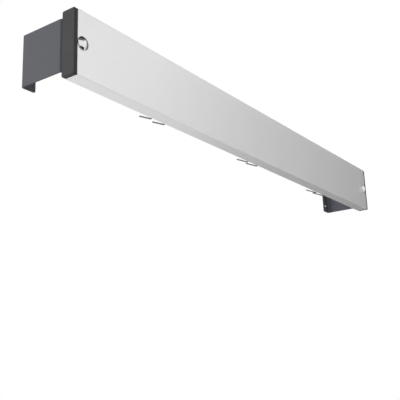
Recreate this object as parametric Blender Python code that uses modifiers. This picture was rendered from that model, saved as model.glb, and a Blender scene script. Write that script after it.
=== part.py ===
"""A wall coat hook rail: a flat aluminium tube on two bent brackets, with double wire hooks hidden behind it.

Metres, +Z up. The wall is the plane Y = 0 and the rail's front faces -Y. The origin lies on the wall, midway
between the brackets and level with the rail's middle.
"""

from math import acos, cos, pi, radians, sin, tan

import bmesh
import bpy
from mathutils import Matrix, Vector

MM = 0.001

# Fits: touching pieces keep SEAT between their faces, and a shank keeps its clearance in every hole
SEAT = 0.3 * MM
BOLT_CLEARANCE = 0.5 * MM
RIVET_CLEARANCE = 0.3 * MM
WELD = 0.001 * MM

# Rail: a closed rectangular tube with eased corners
RAIL_LENGTH = 987 * MM
RAIL_HEIGHT = 100 * MM
RAIL_DEPTH = 24 * MM
RAIL_WALL = 2 * MM
RAIL_CORNER = 1 * MM
WALL_TO_FRONT = 106.5 * MM

# End caps: a plate over the tube's end and two tongues that grip inside it
CAP_THICKNESS = 6.5 * MM
CAP_CORNER = 2.5 * MM
CAP_EDGE = 0.8 * MM
TONGUE_LENGTH = 16 * MM
TONGUE_HEIGHT = 24 * MM
TONGUE_LEAD = 1 * MM
TONGUE_CORNER = 1.5 * MM

# Wall brackets: sheet bent to a C, seen from above
SHEET = 2 * MM
SHEET_BEND = 2.5 * MM
BRACKET_HEIGHT = 81 * MM
FLANGE_WIDTH = 26 * MM
FLANGE_CORNER = 3 * MM
WALL_HOLE = 6.5 * MM
WALL_HOLE_INSET = 15 * MM
WALL_HOLE_SPACING = 50 * MM

# Dome bolts, through the rail and the bracket's front flange, with the sleeve, washer and nut on each
BOLT_DIAMETER = 8 * MM
BOLT_INSET = 10 * MM
HEAD_DIAMETER = 20 * MM
HEAD_RIM = 1 * MM
HEAD_DOME = 4 * MM
THREAD_PAST_NUT = 3 * MM
THREAD_CHAMFER = 0.8 * MM
SLEEVE_WALL = 2 * MM
WASHER_DIAMETER = 16 * MM
WASHER_THICKNESS = 1.6 * MM
NUT_FLATS = 13 * MM
NUT_HEIGHT = 6.5 * MM

# Double hooks: one wire each, with a bridge on top, two legs down the rail's back and two prongs to the wall
HOOK_COUNT = 3
HOOK_PITCH = 288.5 * MM
WIRE_DIAMETER = 2.5 * MM
PRONG_SPACING = 33 * MM
PRONG_REACH = 26.2 * MM
PRONG_RISE = radians(24.5)
PRONG_BEND = 2.5 * MM
BRIDGE_BEND = 6 * MM
HOOK_LIFT = 1.5 * MM
BRIDGE_LIFT = 42 * MM

# Saddles that hold each hook's bridge to the rail, and their blind rivets
SADDLE_SHEET = 1.5 * MM
SADDLE_BEND = 0.6 * MM
SADDLE_WIDTH = 20 * MM
SADDLE_FLANGE = 11 * MM
SADDLE_CORNER = 3 * MM
RIVET_DIAMETER = 4 * MM
RIVET_HEAD = 8 * MM
RIVET_DOME = 1.5 * MM
RIVET_BULB = 6.4 * MM
RIVET_BULB_LENGTH = 4 * MM

# Where the main faces lie
FRONT_Y = -WALL_TO_FRONT
BACK_Y = FRONT_Y + RAIL_DEPTH
END_X = RAIL_LENGTH / 2
OUTER_X = END_X + CAP_THICKNESS
BOLT_X = END_X - BOLT_INSET
BOTTOM_Z = -RAIL_HEIGHT / 2
ALL_THROUGH = 3 * WALL_TO_FRONT

# How finely round shapes are divided
CORNER_STEPS = 5
TURN_STEPS = 32
SMALL_TURN_STEPS = 20
DOME_STEPS = 6
WIRE_BEVEL_STEPS = 4
TIP_ANGLES = [radians(degrees) for degrees in (80, 60, 35, 0)]
FLAT_ANGLE = radians(0.1)
SHARP_ANGLE = radians(30)

# Turns that carry an outline's own x and y to world axes, and a turned piece's axis to the world's Y
PLAN = Matrix.Identity(4)
SIDE = Matrix(((0, 0, 1, 0), (1, 0, 0, 0), (0, 1, 0, 0), (0, 0, 0, 1)))
FRONT = Matrix.Rotation(pi / 2, 4, "X")
HEAD_TO_FRONT = Matrix.Rotation(pi / 2, 4, "X")
HEAD_TO_WALL = Matrix.Rotation(-pi / 2, 4, "X")
HALF_TURN = Matrix.Rotation(pi, 4, "Y")


def evaluated_mesh(source):
    """A welded, outward-facing mesh of an object as its modifiers leave it. The object is removed."""
    bpy.context.view_layer.update()
    graph = bpy.context.evaluated_depsgraph_get()
    mesh = bpy.data.meshes.new_from_object(source.evaluated_get(graph))
    mesh.transform(source.matrix_world)
    bpy.data.objects.remove(source)
    faces = bmesh.new()
    faces.from_mesh(mesh)
    bmesh.ops.remove_doubles(faces, verts=faces.verts, dist=WELD)
    bmesh.ops.recalc_face_normals(faces, faces=faces.faces)
    faces.to_mesh(mesh)
    faces.free()
    return mesh


def loose_object(data):
    piece = bpy.data.objects.new("working", data)
    bpy.context.scene.collection.objects.link(piece)
    return piece


def combine(body, tools, operation):
    """The mesh body with each tool mesh cut away, joined on or kept in common."""
    piece = loose_object(body)
    helpers = [loose_object(tool) for tool in tools]
    for helper in helpers:
        step = piece.modifiers.new("combine", "BOOLEAN")
        step.operation = operation
        step.solver = "EXACT"
        step.object = helper
    mesh = evaluated_mesh(piece)
    for helper in helpers:
        bpy.data.objects.remove(helper)
    return mesh


def round_corners(corners, radii, closed):
    """The path through the corners with an arc of each corner's radius. An open path keeps its two ends."""
    points = []
    count = len(corners)
    for i, corner in enumerate(corners):
        if not closed and i in (0, count - 1):
            points.append(corner.copy())
            continue
        if radii[i] == 0:
            points.append(corner.copy())
            continue
        before = (corner - corners[i - 1]).normalized()
        after = (corners[(i + 1) % count] - corner).normalized()
        turn = acos(before.dot(after))
        start = corner - before * radii[i] * tan(turn / 2)
        centre = corner + (after - before).normalized() * radii[i] / cos(turn / 2)
        for k in range(CORNER_STEPS + 1):
            angle = turn * k / CORNER_STEPS
            points.append(centre + (start - centre) * cos(angle) + before * radii[i] * sin(angle))
    return points


def rounded_rectangle(width, height, radius, centre=(0, 0)):
    x, y = centre
    signs = ((-1, -1), (1, -1), (1, 1), (-1, 1))
    corners = [Vector((x + sx * width / 2, y + sy * height / 2, 0)) for sx, sy in signs]
    return round_corners(corners, [radius] * 4, closed=True)


def plate(outlines, thickness, turn):
    """A flat outline, with any inner outlines as holes, given a thickness about its own plane."""
    curve = bpy.data.curves.new("outline", "CURVE")
    curve.dimensions = "2D"
    curve.fill_mode = "BOTH"
    curve.extrude = thickness / 2
    for outline in outlines:
        spline = curve.splines.new("POLY")
        spline.points.add(len(outline) - 1)
        for point, place in zip(spline.points, outline):
            point.co = (place.x, place.y, 0, 1)
        spline.use_cyclic_u = True
    piece = loose_object(curve)
    piece.matrix_world = turn
    return evaluated_mesh(piece)


def turned(profile, steps, turn, closed=False):
    """A profile of (radius, height) pairs, listed down its outer side, swept round its axis."""
    mesh = bpy.data.meshes.new("profile")
    edges = [(i, i + 1) for i in range(len(profile) - 1)]
    if closed:
        edges.append((len(profile) - 1, 0))
    mesh.from_pydata([(radius, 0, height) for radius, height in profile], edges, [])
    piece = loose_object(mesh)
    sweep = piece.modifiers.new("sweep", "SCREW")
    sweep.steps = steps
    sweep.render_steps = steps
    sweep.use_merge_vertices = True
    sweep.merge_threshold = WELD
    piece.matrix_world = turn
    return evaluated_mesh(piece)


def ring(outer, inner, length, steps):
    """A plain tube along Y, centred on the origin."""
    half = length / 2
    section = [(outer / 2, half), (outer / 2, -half), (inner / 2, -half), (inner / 2, half)]
    return turned(section, steps, HEAD_TO_FRONT, closed=True)


def rod(diameter, length, steps):
    """A straight rod or prism along Y, centred on the origin."""
    shape = bmesh.new()
    bmesh.ops.create_cone(
        shape,
        cap_ends=True,
        segments=steps,
        radius1=diameter / 2,
        radius2=diameter / 2,
        depth=length,
        matrix=HEAD_TO_FRONT,
    )
    mesh = bpy.data.meshes.new("rod")
    shape.to_mesh(mesh)
    shape.free()
    return mesh


def block(size, centre):
    shape = bmesh.new()
    bmesh.ops.create_cube(shape, size=1, matrix=Matrix.Translation(centre) @ Matrix.Diagonal((*size, 1)))
    mesh = bpy.data.meshes.new("block")
    shape.to_mesh(mesh)
    shape.free()
    return mesh


def moved(mesh, offset):
    copy = mesh.copy()
    copy.transform(Matrix.Translation(offset))
    return copy


def bevel_edges(mesh, chosen, width, steps):
    """Rounds the edges whose two ends both pass the test, once flat faces are whole again."""
    shape = bmesh.new()
    shape.from_mesh(mesh)
    bmesh.ops.dissolve_limit(shape, angle_limit=FLAT_ANGLE, verts=shape.verts, edges=shape.edges)
    edges = [edge for edge in shape.edges if all(chosen(end.co) for end in edge.verts)]
    bmesh.ops.bevel(shape, geom=edges, offset=width, segments=steps, profile=0.5, affect="EDGES")
    shape.to_mesh(mesh)
    shape.free()


def dome(radius, height, base):
    """A round cap's profile from its crown down to the given base height, where its radius is reached."""
    sphere = (radius ** 2 + height ** 2) / (2 * height)
    sweep = acos(1 - height / sphere)
    angles = [sweep * k / DOME_STEPS for k in range(DOME_STEPS + 1)]
    return [(sphere * sin(a), base + height - sphere * (1 - cos(a))) for a in angles]


def linear(channel):
    return channel / 12.92 if channel <= 0.04045 else ((channel + 0.055) / 1.055) ** 2.4


def material(name, colour, metallic, roughness):
    made = bpy.data.materials.new(name)
    made.use_nodes = True
    shader = made.node_tree.nodes["Principled BSDF"]
    channels = [linear(int(colour[i:i + 2], 16) / 255) for i in (0, 2, 4)]
    shader.inputs["Base Color"].default_value = (*channels, 1)
    shader.inputs["Metallic"].default_value = metallic
    shader.inputs["Roughness"].default_value = roughness
    return made


def add_piece(name, mesh, finish, turn=PLAN):
    """Puts one named piece into the rail's collection."""
    mesh.name = name
    mesh.materials.clear()
    mesh.materials.append(finish)
    mesh.shade_smooth()
    mesh.set_sharp_from_angle(angle=SHARP_ANGLE)
    piece = bpy.data.objects.new(name, mesh)
    piece.matrix_world = turn
    bpy.data.collections["wall_coat_hook_rail"].objects.link(piece)


def add_both_ends(name, mesh, finish):
    """The same piece at the left end and, turned half round, at the right end."""
    add_piece(name + "_left", mesh, finish)
    add_piece(name + "_right", mesh, finish, HALF_TURN)


def corner_radius(inset):
    """The radius of the tube's corners on an outline that is drawn in by the inset."""
    return max(RAIL_CORNER - inset, RAIL_CORNER / 4)


def rail_section(inset):
    """The tube's outline in Y and Z, drawn in by the inset."""
    middle = ((FRONT_Y + BACK_Y) / 2, 0)
    return rounded_rectangle(RAIL_DEPTH - 2 * inset, RAIL_HEIGHT - 2 * inset, corner_radius(inset), middle)


def hook_places():
    return [HOOK_PITCH * (i - (HOOK_COUNT - 1) / 2) for i in range(HOOK_COUNT)]


def bridge_z():
    return BOTTOM_Z + BRIDGE_LIFT


def wire_y():
    """The line of the hooks' legs and bridges, just behind the rail."""
    return BACK_Y + SEAT + WIRE_DIAMETER / 2


def saddle_half_channel():
    return WIRE_DIAMETER / 2 + SEAT


def rivet_heights():
    offset = saddle_half_channel() + SADDLE_SHEET + SADDLE_FLANGE / 2
    return {"upper": bridge_z() + offset, "lower": bridge_z() - offset}


def make_rail(finish):
    tube = plate([rail_section(0), rail_section(RAIL_WALL)], RAIL_LENGTH, SIDE)
    neck_hole = BOLT_DIAMETER + 2 * SEAT
    shank_hole = BOLT_DIAMETER + 2 * BOLT_CLEARANCE
    rivet_hole = RIVET_DIAMETER + 2 * RIVET_CLEARANCE
    through = 2 * RAIL_WALL
    front_middle = FRONT_Y + RAIL_WALL / 2
    back_middle = BACK_Y - RAIL_WALL / 2
    square = block((neck_hole, through, neck_hole), (0, front_middle, 0))
    round_hole = moved(rod(shank_hole, through, TURN_STEPS), (0, back_middle, 0))
    small_hole = moved(rod(rivet_hole, through, SMALL_TURN_STEPS), (0, back_middle, 0))
    cutters = [moved(hole, (x, 0, 0)) for x in (-BOLT_X, BOLT_X) for hole in (square, round_hole)]
    cutters += [moved(small_hole, (x, 0, z)) for x in hook_places() for z in rivet_heights().values()]
    add_piece("rail_tube", combine(tube, cutters, "DIFFERENCE"), finish)


def make_end_caps(finish):
    middle_y = (FRONT_Y + BACK_Y) / 2
    outline = rounded_rectangle(RAIL_DEPTH, RAIL_HEIGHT, CAP_CORNER, (middle_y, 0))
    cover = plate([outline], CAP_THICKNESS - SEAT, SIDE)
    cover.transform(Matrix.Translation((-(END_X + OUTER_X + SEAT) / 2, 0, 0)))
    bevel_edges(cover, lambda place: place.x < -OUTER_X + WELD, CAP_EDGE, CORNER_STEPS)
    inset = RAIL_WALL + SEAT
    depth = RAIL_DEPTH - 2 * inset
    length = TONGUE_LENGTH + CAP_THICKNESS / 2
    tip_x = -END_X + TONGUE_LENGTH
    reach_z = RAIL_HEIGHT / 2 - inset
    tongues = []
    for side in (-1, 1):
        centre = (middle_y, side * (reach_z - TONGUE_HEIGHT / 2))
        outline = rounded_rectangle(depth, TONGUE_HEIGHT, TONGUE_CORNER, centre)
        tongue = plate([outline], length, SIDE)
        tongue.transform(Matrix.Translation((tip_x - length / 2, 0, 0)))
        bevel_edges(tongue, lambda place: place.x > tip_x - WELD, TONGUE_LEAD, 1)
        tongues.append(tongue)
    add_both_ends("end_cap", combine(cover, tongues, "UNION"), finish)


def make_brackets(finish):
    outer = -OUTER_X
    inner = outer + SHEET
    tip = outer + FLANGE_WIDTH
    front = BACK_Y + SEAT
    rear = 0
    outer_bend = SHEET + SHEET_BEND
    plan = [
        (tip, front, 0), (outer, front, outer_bend), (outer, rear, outer_bend), (tip, rear, 0),
        (tip, rear - SHEET, 0), (inner, rear - SHEET, SHEET_BEND), (inner, front + SHEET, SHEET_BEND),
        (tip, front + SHEET, 0),
    ]
    corners = [Vector((x, y, 0)) for x, y, radius in plan]
    outline = round_corners(corners, [radius for x, y, radius in plan], closed=True)
    bent = plate([outline], BRACKET_HEIGHT, PLAN)
    past = FLANGE_CORNER
    middle = ((tip + outer - past) / 2, 0)
    blank = rounded_rectangle(FLANGE_WIDTH + past, BRACKET_HEIGHT, FLANGE_CORNER, middle)
    trimmed = combine(bent, [plate([blank], ALL_THROUGH, FRONT)], "INTERSECT")
    bolt_hole = rod(BOLT_DIAMETER + 2 * BOLT_CLEARANCE, 2 * SHEET, TURN_STEPS)
    wall_hole = rod(WALL_HOLE, 2 * SHEET, TURN_STEPS)
    holes = [moved(bolt_hole, (-BOLT_X, front + SHEET / 2, 0))]
    for side in (-1, 1):
        place = (outer + WALL_HOLE_INSET, rear - SHEET / 2, side * WALL_HOLE_SPACING / 2)
        holes.append(moved(wall_hole, place))
    add_both_ends("wall_bracket", combine(trimmed, holes, "DIFFERENCE"), finish)


def make_bolts(chrome, zinc):
    flange_y = BACK_Y + SEAT + SHEET
    washer_y = flange_y + SEAT
    nut_y = washer_y + WASHER_THICKNESS + SEAT
    end_y = nut_y + NUT_HEIGHT + THREAD_PAST_NUT
    head_y = FRONT_Y - SEAT
    shank = BOLT_DIAMETER / 2
    length = end_y - head_y
    profile = dome(HEAD_DIAMETER / 2, HEAD_DOME, HEAD_RIM)
    profile += [(HEAD_DIAMETER / 2, 0), (shank, 0), (shank, THREAD_CHAMFER - length)]
    profile += [(shank - THREAD_CHAMFER, -length), (0, -length)]
    bolt = turned(profile, TURN_STEPS, Matrix.Translation((-BOLT_X, head_y, 0)) @ HEAD_TO_FRONT)
    neck_length = SEAT + RAIL_WALL
    neck_start = head_y - HEAD_RIM / 2
    neck = block(
        (BOLT_DIAMETER, neck_length + HEAD_RIM / 2 - SEAT, BOLT_DIAMETER),
        (-BOLT_X, (neck_start + head_y + neck_length - SEAT) / 2, 0),
    )
    add_both_ends("dome_bolt", combine(bolt, [neck], "UNION"), chrome)

    bore = BOLT_DIAMETER + 2 * BOLT_CLEARANCE
    hollow = RAIL_DEPTH - 2 * RAIL_WALL
    sleeve = ring(bore + 2 * SLEEVE_WALL, bore, hollow - 2 * SEAT, TURN_STEPS)
    add_both_ends("spacer_sleeve", moved(sleeve, (-BOLT_X, (FRONT_Y + BACK_Y) / 2, 0)), zinc)

    washer = ring(WASHER_DIAMETER, bore, WASHER_THICKNESS, TURN_STEPS)
    add_both_ends("washer", moved(washer, (-BOLT_X, washer_y + WASHER_THICKNESS / 2, 0)), zinc)

    across_corners = NUT_FLATS / cos(pi / 6)
    prism = rod(across_corners, NUT_HEIGHT, 6)
    drop = (across_corners - NUT_FLATS) / 2 * tan(pi / 6)
    half = NUT_HEIGHT / 2
    barrel = [(0, half), (NUT_FLATS / 2, half), (across_corners / 2 + SEAT, half - drop * 2)]
    barrel += [(radius, -height) for radius, height in reversed(barrel)]
    nut = combine(prism, [turned(barrel, TURN_STEPS, HEAD_TO_FRONT)], "INTERSECT")
    thread = rod(BOLT_DIAMETER + 2 * SEAT, 2 * NUT_HEIGHT, TURN_STEPS)
    nut = combine(nut, [thread], "DIFFERENCE")
    add_both_ends("nut", moved(nut, (-BOLT_X, nut_y + half, 0)), zinc)


def wire_path():
    """One hook's centre line from tip to tip, about its own middle in X."""
    leg_y = wire_y()
    tip_y = leg_y + PRONG_REACH
    low_z = BOTTOM_Z + HOOK_LIFT
    turn_z = low_z + PRONG_BEND * (1 - tan((pi / 2 + PRONG_RISE) / 2))
    tip_z = turn_z + PRONG_REACH * tan(PRONG_RISE)
    x = PRONG_SPACING / 2
    half = [(x, tip_y, tip_z, 0), (x, leg_y, turn_z, PRONG_BEND), (x, leg_y, bridge_z(), BRIDGE_BEND)]
    whole = half + [(-x, y, z, radius) for x, y, z, radius in reversed(half)]
    corners = [Vector((x, y, z)) for x, y, z, radius in whole]
    return round_corners(corners, [radius for x, y, z, radius in whole], closed=False)


def make_wire():
    """The hook's wire with a rounded tip on each prong."""
    path = wire_path()
    radius = WIRE_DIAMETER / 2
    inward = (path[1] - path[0]).normalized()
    outward = (path[-2] - path[-1]).normalized()
    places = [(path[0] + inward * radius * (1 - sin(a)), cos(a)) for a in TIP_ANGLES]
    places += [(place, 1) for place in path[1:-1]]
    places += [(path[-1] + outward * radius * (1 - sin(a)), cos(a)) for a in reversed(TIP_ANGLES)]
    curve = bpy.data.curves.new("wire", "CURVE")
    curve.dimensions = "3D"
    curve.bevel_depth = radius
    curve.bevel_resolution = WIRE_BEVEL_STEPS
    curve.use_fill_caps = True
    spline = curve.splines.new("POLY")
    spline.points.add(len(places) - 1)
    for point, (place, share) in zip(spline.points, places):
        point.co = (*place, 1)
        point.radius = share
    return evaluated_mesh(loose_object(curve))


def make_saddle():
    """A strip of sheet pressed over the hook's bridge, with a flange above and one below."""
    near = BACK_Y + SEAT
    crown = wire_y() + saddle_half_channel()
    inside = saddle_half_channel()
    outside = inside + SADDLE_SHEET
    end = outside + SADDLE_FLANGE
    root = SADDLE_BEND
    shoulder = SADDLE_BEND + SADDLE_SHEET
    half = [
        (near + SADDLE_SHEET, end, 0), (near + SADDLE_SHEET, outside, root),
        (crown + SADDLE_SHEET, outside, shoulder),
    ]
    under = [(crown, inside, root), (near, inside, shoulder), (near, end, 0)]
    section = half + [(y, -z, radius) for y, z, radius in reversed(half)]
    section += [(y, -z, radius) for y, z, radius in reversed(under)] + under
    corners = [Vector((y, bridge_z() + z, 0)) for y, z, radius in section]
    outline = round_corners(corners, [radius for y, z, radius in section], closed=True)
    pressed = plate([outline], SADDLE_WIDTH, SIDE)
    blank = rounded_rectangle(SADDLE_WIDTH, 2 * end, SADDLE_CORNER, (0, bridge_z()))
    saddle = combine(pressed, [plate([blank], ALL_THROUGH, FRONT)], "INTERSECT")
    hole = rod(RIVET_DIAMETER + 2 * RIVET_CLEARANCE, 2 * SADDLE_SHEET, SMALL_TURN_STEPS)
    middle = near + SADDLE_SHEET / 2
    holes = [moved(hole, (0, middle, z)) for z in rivet_heights().values()]
    return combine(saddle, holes, "DIFFERENCE")


def make_rivet():
    """A blind rivet: a low dome on the saddle and a bulb swelled inside the tube."""
    grip = SEAT + SADDLE_SHEET + SEAT + RAIL_WALL + SEAT
    shank = RIVET_DIAMETER / 2
    bulb = RIVET_BULB / 2
    swell = (bulb - shank) / 2
    profile = dome(RIVET_HEAD / 2, RIVET_DOME, 0)
    profile += [(shank, 0), (shank, -grip), (bulb, -grip - swell)]
    profile += [(bulb, -grip - RIVET_BULB_LENGTH + swell), (shank, -grip - RIVET_BULB_LENGTH)]
    profile += [(0, -grip - RIVET_BULB_LENGTH)]
    seat_y = BACK_Y + SEAT + SADDLE_SHEET + SEAT
    return turned(profile, SMALL_TURN_STEPS, Matrix.Translation((0, seat_y, 0)) @ HEAD_TO_WALL)


def make_hooks(nickel, zinc, alloy):
    wire = make_wire()
    saddle = make_saddle()
    rivet = make_rivet()
    for number, x in enumerate(hook_places(), start=1):
        along = Matrix.Translation((x, 0, 0))
        add_piece(f"double_hook_{number}", wire, nickel, along)
        add_piece(f"hook_saddle_{number}", saddle, zinc, along)
        for height, z in rivet_heights().items():
            add_piece(f"hook_rivet_{number}_{height}", rivet, alloy, Matrix.Translation((x, 0, z)))


def main():
    for leftover in list(bpy.data.objects):
        bpy.data.objects.remove(leftover)
    collection = bpy.data.collections.new("wall_coat_hook_rail")
    bpy.context.scene.collection.children.link(collection)
    anodised = material("satin anodised aluminium", "D9D9DB", 1.0, 0.38)
    plastic = material("dark grey moulded plastic", "3C3B3E", 0.0, 0.5)
    powder = material("anthracite powder coat", "65676D", 0.0, 0.55)
    chrome = material("polished chrome plate", "E6E6E8", 1.0, 0.08)
    nickel = material("dark nickel plated wire", "737375", 1.0, 0.25)
    zinc = material("zinc plated steel", "B4B6BA", 1.0, 0.35)
    alloy = material("aluminium rivet", "C8C9CC", 1.0, 0.4)
    make_rail(anodised)
    make_end_caps(plastic)
    make_brackets(powder)
    make_bolts(chrome, zinc)
    make_hooks(nickel, zinc, alloy)


main()
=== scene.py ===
# %% [markdown]
# # A wall coat hook rail
#
# The object is a flat aluminium tube, about a metre long, that stands off the wall on two bent brackets.
# Double wire hooks hang behind it, so that from the front only the ends of their prongs show. This lesson
# takes the plain solids of the part and gives each of them the shape and finish of the real piece.
#
# The solids come first, because every piece below is placed by their boxes. Nothing is placed by eye.

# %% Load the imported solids
from math import asin, cos, pi, radians, sin, sqrt, tan

import bmesh
import bpy
from mathutils import Matrix, Vector


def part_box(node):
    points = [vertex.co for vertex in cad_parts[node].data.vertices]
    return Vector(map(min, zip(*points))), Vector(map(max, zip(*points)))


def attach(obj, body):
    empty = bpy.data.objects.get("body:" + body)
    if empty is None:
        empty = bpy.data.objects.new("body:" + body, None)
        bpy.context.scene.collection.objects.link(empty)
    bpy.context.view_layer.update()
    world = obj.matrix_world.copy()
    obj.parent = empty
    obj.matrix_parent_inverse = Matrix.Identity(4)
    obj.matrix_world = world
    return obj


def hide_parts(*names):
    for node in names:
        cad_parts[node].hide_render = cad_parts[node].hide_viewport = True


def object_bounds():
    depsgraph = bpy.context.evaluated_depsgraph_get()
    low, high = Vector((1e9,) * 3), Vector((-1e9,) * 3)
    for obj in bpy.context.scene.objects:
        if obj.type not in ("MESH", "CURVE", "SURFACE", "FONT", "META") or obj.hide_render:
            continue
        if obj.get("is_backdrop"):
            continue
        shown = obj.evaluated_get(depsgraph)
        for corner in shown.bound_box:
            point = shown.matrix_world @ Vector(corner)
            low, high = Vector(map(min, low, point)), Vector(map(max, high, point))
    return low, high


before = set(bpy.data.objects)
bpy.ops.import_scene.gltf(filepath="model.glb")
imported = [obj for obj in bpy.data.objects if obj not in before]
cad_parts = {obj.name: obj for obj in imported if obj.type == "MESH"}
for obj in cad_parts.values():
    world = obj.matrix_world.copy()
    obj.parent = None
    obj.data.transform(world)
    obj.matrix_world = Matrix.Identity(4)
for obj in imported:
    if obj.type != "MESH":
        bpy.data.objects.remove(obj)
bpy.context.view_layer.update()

scene = bpy.context.scene

# %% [markdown]
# ## Where things are
#
# Blender works in metres and a maker draws in millimetres, so one factor turns one into the other. The
# wall is the plane Y = 0, the rail's front faces -Y, and +Z is up. The boxes of a few solids give all the
# faces that the pieces are set against.

# %% Read the main faces from the solids
MM = 0.001
rail_low, rail_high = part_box("rail_tube")
FRONT_Y, BACK_Y, END_X = rail_low.y, rail_high.y, rail_high.x
RAIL_DEPTH, RAIL_HEIGHT = BACK_Y - FRONT_Y, rail_high.z - rail_low.z
RAIL_MIDDLE_Y = (FRONT_Y + BACK_Y) / 2
OUTER_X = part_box("end_cap_right")[1].x
bolt_low, bolt_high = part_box("dome_bolt_left")
BOLT_X = -(bolt_low.x + bolt_high.x) / 2
HOOK_PLACES = [sum(corner.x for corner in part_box(f"double_hook_{n}")) / 2 for n in (1, 2, 3)]
print("rail front and back in mm:", round(FRONT_Y / MM, 1), round(BACK_Y / MM, 1))
print("hooks in mm:", [round(x / MM, 1) for x in HOOK_PLACES])

# %% [markdown]
# ## The camera
#
# The rail was photographed from below and from its left, with a longish lens. A camera's place can be
# tried by hand until the picture fits, or it can be worked out: corners whose place on the object is
# known were measured on the photograph, and the camera that puts them there was solved for. The result is
# kept as a place, two angles and a small roll.

# %% Set up the fitted camera
CAMERA_PLACE = Vector((-1.10556, -0.73003, -0.46284))
LOOK_AZIMUTH = radians(54.919)
LOOK_ELEVATION = radians(15.145)
LOOK_ROLL = radians(-2.037)
LENS = 62.904
SENSOR_WIDTH = 36

ahead = Vector((
    sin(LOOK_AZIMUTH) * cos(LOOK_ELEVATION),
    cos(LOOK_AZIMUTH) * cos(LOOK_ELEVATION),
    sin(LOOK_ELEVATION),
))
level = Vector((cos(LOOK_AZIMUTH), -sin(LOOK_AZIMUTH), 0))
above = level.cross(ahead)
right = level * cos(LOOK_ROLL) + above * sin(LOOK_ROLL)
up = above * cos(LOOK_ROLL) - level * sin(LOOK_ROLL)
camera_data = bpy.data.cameras.new("camera")
camera_data.lens = LENS
camera_data.sensor_width = SENSOR_WIDTH
camera = bpy.data.objects.new("camera", camera_data)
camera_turn = Matrix((right, up, -ahead)).transposed().to_4x4()
camera.matrix_world = Matrix.Translation(CAMERA_PLACE) @ camera_turn
scene.collection.objects.link(camera)
scene.camera = camera
print("camera looks along", [round(x, 3) for x in ahead])

# %% [markdown]
# ## Nodes and colours
#
# Materials and Geometry Nodes are both trees of nodes, so one small function adds a node to either: it
# sets the node's own settings, then gives each socket a number, a colour or the output of another node.
# Colours are written as hex values, which are coded for a screen and aren't amounts of light, so they are
# made linear first.

# %% Add nodes and read colours
def add_node(tree, kind, sockets=None, **settings):
    made = tree.nodes.new(kind)
    for name, value in settings.items():
        setattr(made, name, value)
    for name, value in (sockets or {}).items():
        if isinstance(value, bpy.types.Node):
            value = value.outputs[0]
        if isinstance(value, bpy.types.NodeSocket):
            tree.links.new(value, made.inputs[name])
        else:
            made.inputs[name].default_value = value
    return made


def linear(colour):
    channels = [int(colour[i:i + 2], 16) / 255 for i in (0, 2, 4)]
    return (*[c / 12.92 if c <= 0.04045 else ((c + 0.055) / 1.055) ** 2.4 for c in channels], 1)


print("the screen's middle grey is", round(linear("808080")[0], 3), "of white as light")

# %% [markdown]
# ## Finished pieces
#
# Shapes are made on working objects, by modifiers and node trees, and then kept as plain meshes, so that
# what is exported is what is seen. A finished piece is shaded so that flat faces look flat between
# rounded edges. It rides on the part's one body and stands for its solids, and it takes a finish if given.

# %% Turn a working mesh into a piece
SOFT_EDGE = radians(32)


def working_object(data):
    made = bpy.data.objects.new("working", data)
    scene.collection.objects.link(made)
    return made


def plain_mesh(worked):
    """What an object and its modifiers amount to, as a mesh of its own. The object is removed."""
    bpy.context.view_layer.update()
    graph = bpy.context.evaluated_depsgraph_get()
    mesh = bpy.data.meshes.new_from_object(
        worked.evaluated_get(graph), preserve_all_data_layers=True, depsgraph=graph)
    bpy.data.objects.remove(worked)
    return mesh


def as_mesh(shape):
    """What was built in a bmesh, as a mesh."""
    mesh = bpy.data.meshes.new("shape")
    shape.to_mesh(mesh)
    shape.free()
    return mesh


def finished(name, mesh, nodes, slot, finish=None):
    """Shades the mesh and makes it a piece of the part. Without a finish it keeps the one it has."""
    if finish:
        mesh.materials.clear()
        mesh.materials.append(finish)
    mesh.shade_smooth()
    mesh.set_sharp_from_angle(angle=SOFT_EDGE)
    shaded = working_object(mesh)
    weigh = shaded.modifiers.new("weigh normals", "WEIGHTED_NORMAL")
    weigh.keep_sharp = True
    piece = working_object(plain_mesh(shaded))
    piece.name = piece.data.name = name
    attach(piece, "root")
    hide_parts(*nodes)
    piece.data.calc_loop_triangles()
    print(name, "has", len(piece.data.loop_triangles), "triangles and stands for", ", ".join(nodes))
    return piece


# %% [markdown]
# ## Finishes: satin anodised aluminium
#
# The tube is extruded, etched and anodised. Extruding leaves faint lines along its length, and etching
# turns the bare metal's mirror into an even satin, so the eye sees a soft gradient and no sharp
# reflection. A metal has no colour but that of its reflection: the base colour is what it gives back of
# the light. Die lines are a few hundredths of a millimetre apart on the real tube. They are drawn ten
# times as coarse, so that they show in a close view.

# %% Anodised aluminium
DIE_LINE = 0.6 * MM
DIE_LINE_LENGTH = 90 * MM
ETCH_GRAIN = 0.9 * MM
ANODISED_CLOUD = 70 * MM
LINE_WEIGHT = 0.7


def material_tree(name):
    """A new material, its tree, its shader, and the place on the piece that its patterns go by."""
    made = bpy.data.materials.new(name)
    made.use_nodes = True
    tree = made.node_tree
    return made, tree, tree.nodes["Principled BSDF"], add_node(tree, "ShaderNodeTexCoord").outputs["Object"]


def dress(tree, shader, tone, blur, relief):
    """Every finish here varies in tone, in how much it blurs a reflection, and in fine relief."""
    tree.links.new(tone.outputs[2], shader.inputs["Base Color"])
    tree.links.new(blur.outputs["Result"], shader.inputs["Roughness"])
    tree.links.new(relief.outputs["Normal"], shader.inputs["Normal"])


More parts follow.
